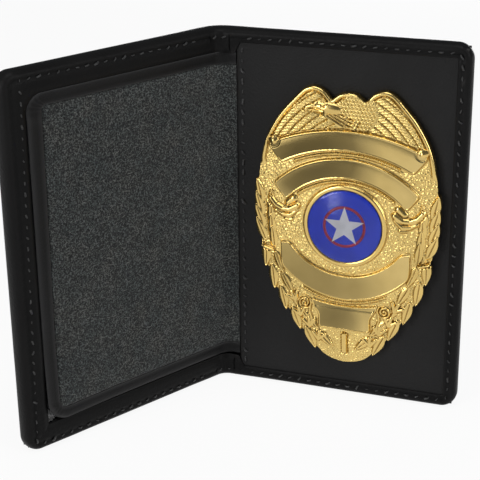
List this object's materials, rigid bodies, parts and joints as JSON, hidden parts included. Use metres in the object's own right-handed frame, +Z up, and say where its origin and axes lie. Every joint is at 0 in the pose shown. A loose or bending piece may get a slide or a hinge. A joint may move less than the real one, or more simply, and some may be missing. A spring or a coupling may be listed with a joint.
{
  "type": "id badge wallet",
  "caption": "Bifold black leather badge wallet standing open, with a gold shield badge on one leaf and a felt-faced flap over a clear card window on the other.",
  "frame": {"origin": "middle of the footprint of the open wallet, on the floor", "axes": "+Z up along the spine, +X to the badge leaf's free edge, +Y from the open side to the spine"},
  "size_m": [0.1224, 0.051, 0.106],
  "materials": {
    "cover_leather": "black grained leather, semi-matt",
    "panel_leather": "black grained leather, semi-matt",
    "flap_leather": "thin black leather, semi-matt",
    "felt": "dark grey brushed felt",
    "board": "stiff fibre board, hidden",
    "lining": "black woven lining",
    "clear_vinyl": "thin clear flexible vinyl",
    "gilt_brass": "bright gold plated",
    "enamel": "blue enamel with a red ring and a grey star",
    "clear_dome": "clear resin dome",
    "pin_metal": "gold plated",
    "pin_steel": "drawn wire"
  },
  "bodies": {
    "badge_leaf": {"back_cover": "cover_leather", "back_lining": "lining", "badge_panel": "panel_leather", "badge_shield": "gilt_brass", "seal_disc": "enamel", "seal_dome": "clear_dome", "pin_joint": "pin_metal", "pin_rivet": "pin_metal", "pin_stem": "pin_steel", "catch_body": "pin_metal", "spine_leather": "cover_leather", "spine_lining": "lining", "flap_hinge": "flap_leather"},
    "catch": {"catch_ring": "pin_metal"},
    "flap": {"flap_leather": "flap_leather", "flap_board": "board", "flap_felt": "felt"},
    "id_leaf": {"front_cover": "cover_leather", "id_frame": "panel_leather", "id_window": "clear_vinyl", "id_pocket_lining": "lining"}
  },
  "joints": [
    {"name": "fold", "type": "hinge", "parent": "badge_leaf", "child": "flap", "pos_m": [-0.00538, 0.01738, 0.053], "axis": [0, 0, 1], "range_deg": [-61.2, 118.8], "deforming": ["spine_leather", "spine_lining", "flap_hinge"]},
    {"name": "flap_lift", "type": "hinge", "parent": "flap", "child": "id_leaf", "pos_m": [-0.00538, 0.01738, 0.053], "axis": [0, 0, -1], "range_deg": [0, 70], "deforming": ["spine_leather", "spine_lining"]},
    {"name": "catch_turn", "type": "hinge", "parent": "badge_leaf", "child": "catch", "pos_m": [0.03007, 0.00989, 0.0354], "axis": [0, 0, 1], "range_deg": [0, 90]}
  ]
}
